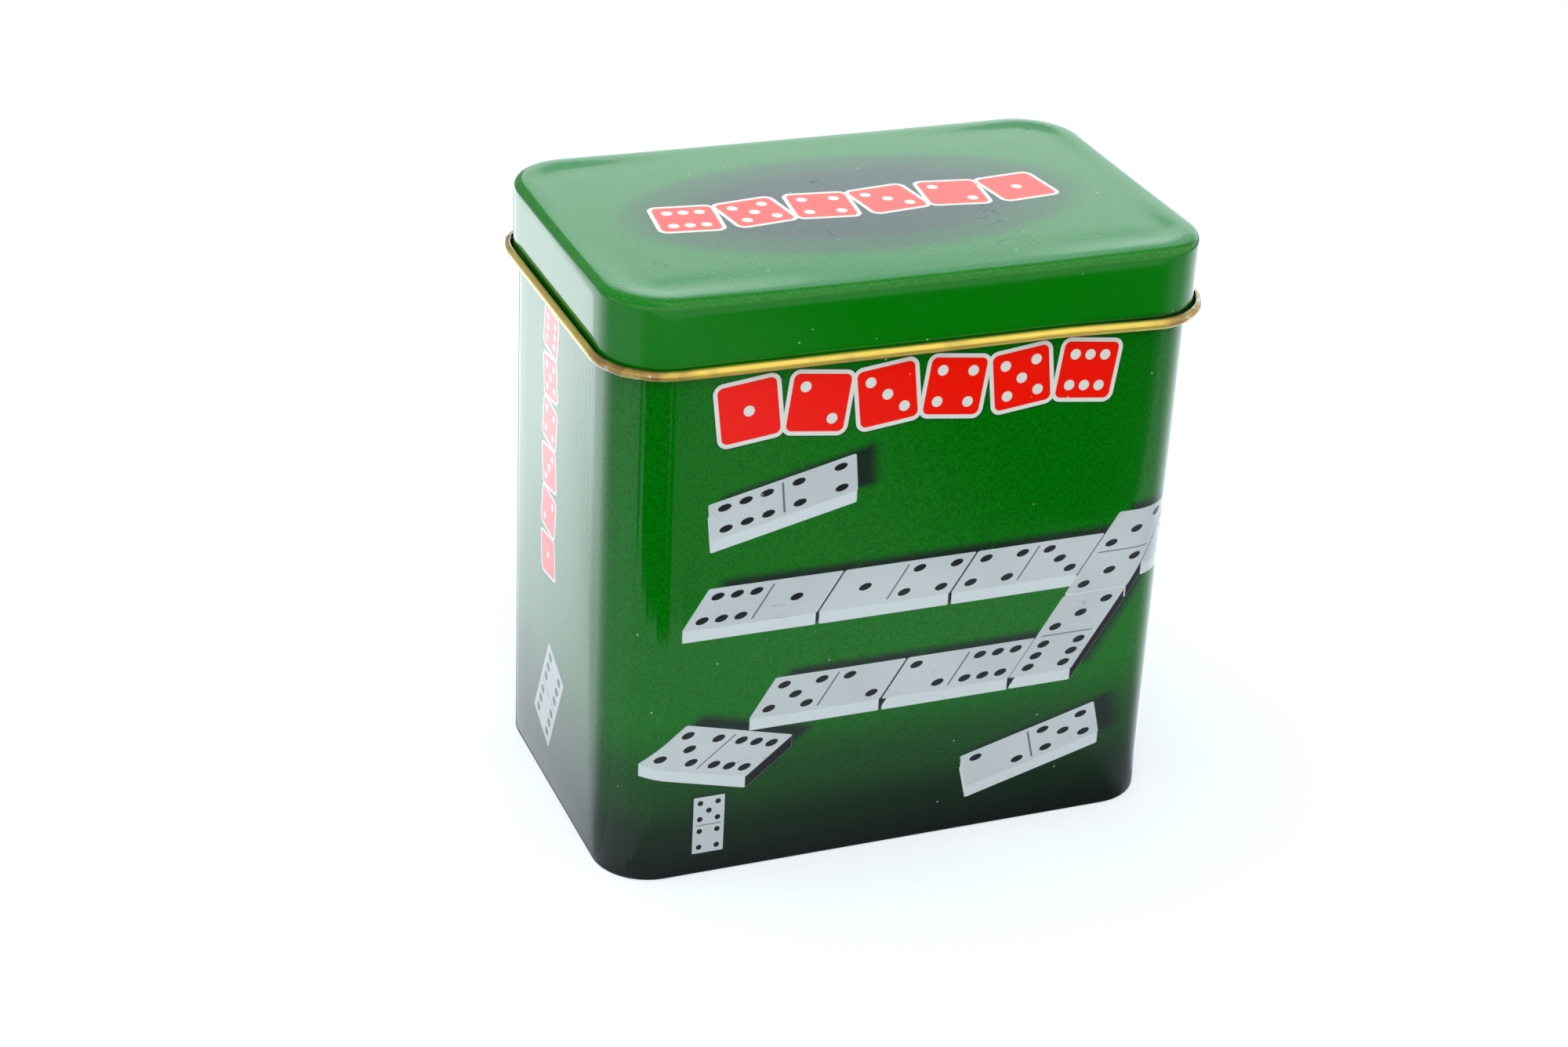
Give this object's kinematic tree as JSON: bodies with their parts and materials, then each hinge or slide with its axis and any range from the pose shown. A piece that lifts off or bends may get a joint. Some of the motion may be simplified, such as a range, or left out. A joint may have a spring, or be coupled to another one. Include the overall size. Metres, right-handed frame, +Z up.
{
  "type": "domino tin",
  "caption": "Upright rectangular tinplate box with rounded corners and a lift-off slip lid with a curled edge, holding stacked domino tiles.",
  "frame": {"origin": "middle of the foot, on the surface that the tin stands on", "axes": "+Z up, front face towards -Y, width along X"},
  "size_m": [0.1208, 0.0768, 0.12],
  "materials": {
    "printed_tin": "glossy green print fading to near black at the foot, gold lacquer inside",
    "printed_lid": "glossy green print with a dark oval, gold lacquer inside and on the curl",
    "gold_lacquer": "gold lacquered tinplate",
    "tile_plastic": "moulded plastic with black painted pips"
  },
  "bodies": {
    "tin": {"tin_wall": "printed_tin", "tin_base": "gold_lacquer"},
    "lid": {"lid": "printed_lid"},
    "tile_0_0": {"tile_0_0": "tile_plastic"},
    "tile_0_1": {"tile_0_1": "tile_plastic"},
    "tile_0_2": {"tile_0_2": "tile_plastic"},
    "tile_0_3": {"tile_0_3": "tile_plastic"},
    "tile_0_4": {"tile_0_4": "tile_plastic"},
    "tile_0_5": {"tile_0_5": "tile_plastic"},
    "tile_0_6": {"tile_0_6": "tile_plastic"},
    "tile_1_1": {"tile_1_1": "tile_plastic"},
    "tile_1_2": {"tile_1_2": "tile_plastic"},
    "tile_1_3": {"tile_1_3": "tile_plastic"},
    "tile_1_4": {"tile_1_4": "tile_plastic"},
    "tile_1_5": {"tile_1_5": "tile_plastic"},
    "tile_1_6": {"tile_1_6": "tile_plastic"},
    "tile_2_2": {"tile_2_2": "tile_plastic"},
    "tile_2_3": {"tile_2_3": "tile_plastic"},
    "tile_2_4": {"tile_2_4": "tile_plastic"},
    "tile_2_5": {"tile_2_5": "tile_plastic"},
    "tile_2_6": {"tile_2_6": "tile_plastic"},
    "tile_3_3": {"tile_3_3": "tile_plastic"},
    "tile_3_4": {"tile_3_4": "tile_plastic"},
    "tile_3_5": {"tile_3_5": "tile_plastic"},
    "tile_3_6": {"tile_3_6": "tile_plastic"},
    "tile_4_4": {"tile_4_4": "tile_plastic"},
    "tile_4_5": {"tile_4_5": "tile_plastic"},
    "tile_4_6": {"tile_4_6": "tile_plastic"},
    "tile_5_5": {"tile_5_5": "tile_plastic"},
    "tile_5_6": {"tile_5_6": "tile_plastic"},
    "tile_6_6": {"tile_6_6": "tile_plastic"}
  },
  "joints": [
    {"name": "lid_lift", "type": "slide", "parent": "tin", "child": "lid", "axis": [0, 0, 1], "range_m": [0, 0.2]},
    {"name": "tile_0_0_lift", "type": "slide", "parent": "tin", "child": "tile_0_0", "axis": [0, 0, 1], "range_m": [0, 0.028]},
    {"name": "tile_0_1_lift", "type": "slide", "parent": "tile_0_0", "child": "tile_0_1", "axis": [0, 0, 1], "range_m": [0, 0.028]},
    {"name": "tile_0_2_lift", "type": "slide", "parent": "tile_0_1", "child": "tile_0_2", "axis": [0, 0, 1], "range_m": [0, 0.028]},
    {"name": "tile_0_3_lift", "type": "slide", "parent": "tile_0_2", "child": "tile_0_3", "axis": [0, 0, 1], "range_m": [0, 0.028]},
    {"name": "tile_0_4_lift", "type": "slide", "parent": "tile_0_3", "child": "tile_0_4", "axis": [0, 0, 1], "range_m": [0, 0.028]},
    {"name": "tile_0_5_lift", "type": "slide", "parent": "tile_0_4", "child": "tile_0_5", "axis": [0, 0, 1], "range_m": [0, 0.028]},
    {"name": "tile_0_6_lift", "type": "slide", "parent": "tile_0_5", "child": "tile_0_6", "axis": [0, 0, 1], "range_m": [0, 0.028]},
    {"name": "tile_1_1_lift", "type": "slide", "parent": "tin", "child": "tile_1_1", "axis": [0, 0, 1], "range_m": [0, 0.028]},
    {"name": "tile_1_2_lift", "type": "slide", "parent": "tile_1_1", "child": "tile_1_2", "axis": [0, 0, 1], "range_m": [0, 0.028]},
    {"name": "tile_1_3_lift", "type": "slide", "parent": "tile_1_2", "child": "tile_1_3", "axis": [0, 0, 1], "range_m": [0, 0.028]},
    {"name": "tile_1_4_lift", "type": "slide", "parent": "tile_1_3", "child": "tile_1_4", "axis": [0, 0, 1], "range_m": [0, 0.028]},
    {"name": "tile_1_5_lift", "type": "slide", "parent": "tile_1_4", "child": "tile_1_5", "axis": [0, 0, 1], "range_m": [0, 0.028]},
    {"name": "tile_1_6_lift", "type": "slide", "parent": "tile_1_5", "child": "tile_1_6", "axis": [0, 0, 1], "range_m": [0, 0.028]},
    {"name": "tile_2_2_lift", "type": "slide", "parent": "tile_1_6", "child": "tile_2_2", "axis": [0, 0, 1], "range_m": [0, 0.028]},
    {"name": "tile_2_3_lift", "type": "slide", "parent": "tin", "child": "tile_2_3", "axis": [0, 0, 1], "range_m": [0, 0.028]},
    {"name": "tile_2_4_lift", "type": "slide", "parent": "tile_2_3", "child": "tile_2_4", "axis": [0, 0, 1], "range_m": [0, 0.028]},
    {"name": "tile_2_5_lift", "type": "slide", "parent": "tile_2_4", "child": "tile_2_5", "axis": [0, 0, 1], "range_m": [0, 0.028]},
    {"name": "tile_2_6_lift", "type": "slide", "parent": "tile_2_5", "child": "tile_2_6", "axis": [0, 0, 1], "range_m": [0, 0.028]},
    {"name": "tile_3_3_lift", "type": "slide", "parent": "tile_2_6", "child": "tile_3_3", "axis": [0, 0, 1], "range_m": [0, 0.028]},
    {"name": "tile_3_4_lift", "type": "slide", "parent": "tile_3_3", "child": "tile_3_4", "axis": [0, 0, 1], "range_m": [0, 0.028]},
    {"name": "tile_3_5_lift", "type": "slide", "parent": "tile_3_4", "child": "tile_3_5", "axis": [0, 0, 1], "range_m": [0, 0.028]},
    {"name": "tile_3_6_lift", "type": "slide", "parent": "tin", "child": "tile_3_6", "axis": [0, 0, 1], "range_m": [0, 0.028]},
    {"name": "tile_4_4_lift", "type": "slide", "parent": "tile_3_6", "child": "tile_4_4", "axis": [0, 0, 1], "range_m": [0, 0.028]},
    {"name": "tile_4_5_lift", "type": "slide", "parent": "tile_4_4", "child": "tile_4_5", "axis": [0, 0, 1], "range_m": [0, 0.028]},
    {"name": "tile_4_6_lift", "type": "slide", "parent": "tile_4_5", "child": "tile_4_6", "axis": [0, 0, 1], "range_m": [0, 0.028]},
    {"name": "tile_5_5_lift", "type": "slide", "parent": "tile_4_6", "child": "tile_5_5", "axis": [0, 0, 1], "range_m": [0, 0.028]},
    {"name": "tile_5_6_lift", "type": "slide", "parent": "tile_5_5", "child": "tile_5_6", "axis": [0, 0, 1], "range_m": [0, 0.028]},
    {"name": "tile_6_6_lift", "type": "slide", "parent": "tile_5_6", "child": "tile_6_6", "axis": [0, 0, 1], "range_m": [0, 0.028]}
  ]
}
